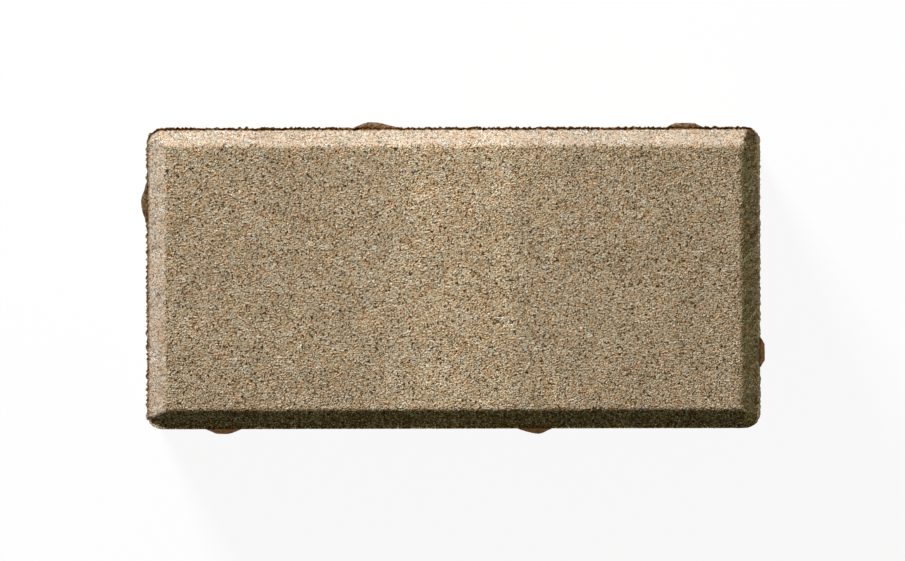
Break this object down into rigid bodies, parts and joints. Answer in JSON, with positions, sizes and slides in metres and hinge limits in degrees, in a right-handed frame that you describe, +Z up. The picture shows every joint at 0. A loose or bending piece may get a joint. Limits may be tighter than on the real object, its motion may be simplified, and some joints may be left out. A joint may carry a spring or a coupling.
{
  "type": "concrete paving stone",
  "caption": "Rectangular concrete block paver with a bevelled top edge and small spacer nibs on its walls.",
  "frame": {"origin": "centre of the bed face, at the bottom of the stone", "axes": "+X along the stone's length, +Y across its width, +Z up through its bevelled top face"},
  "size_m": [0.2, 0.1, 0.06],
  "materials": {
    "concrete": "matte"
  },
  "bodies": {
    "root": {"paving_stone": "concrete"}
  },
  "joints": []
}
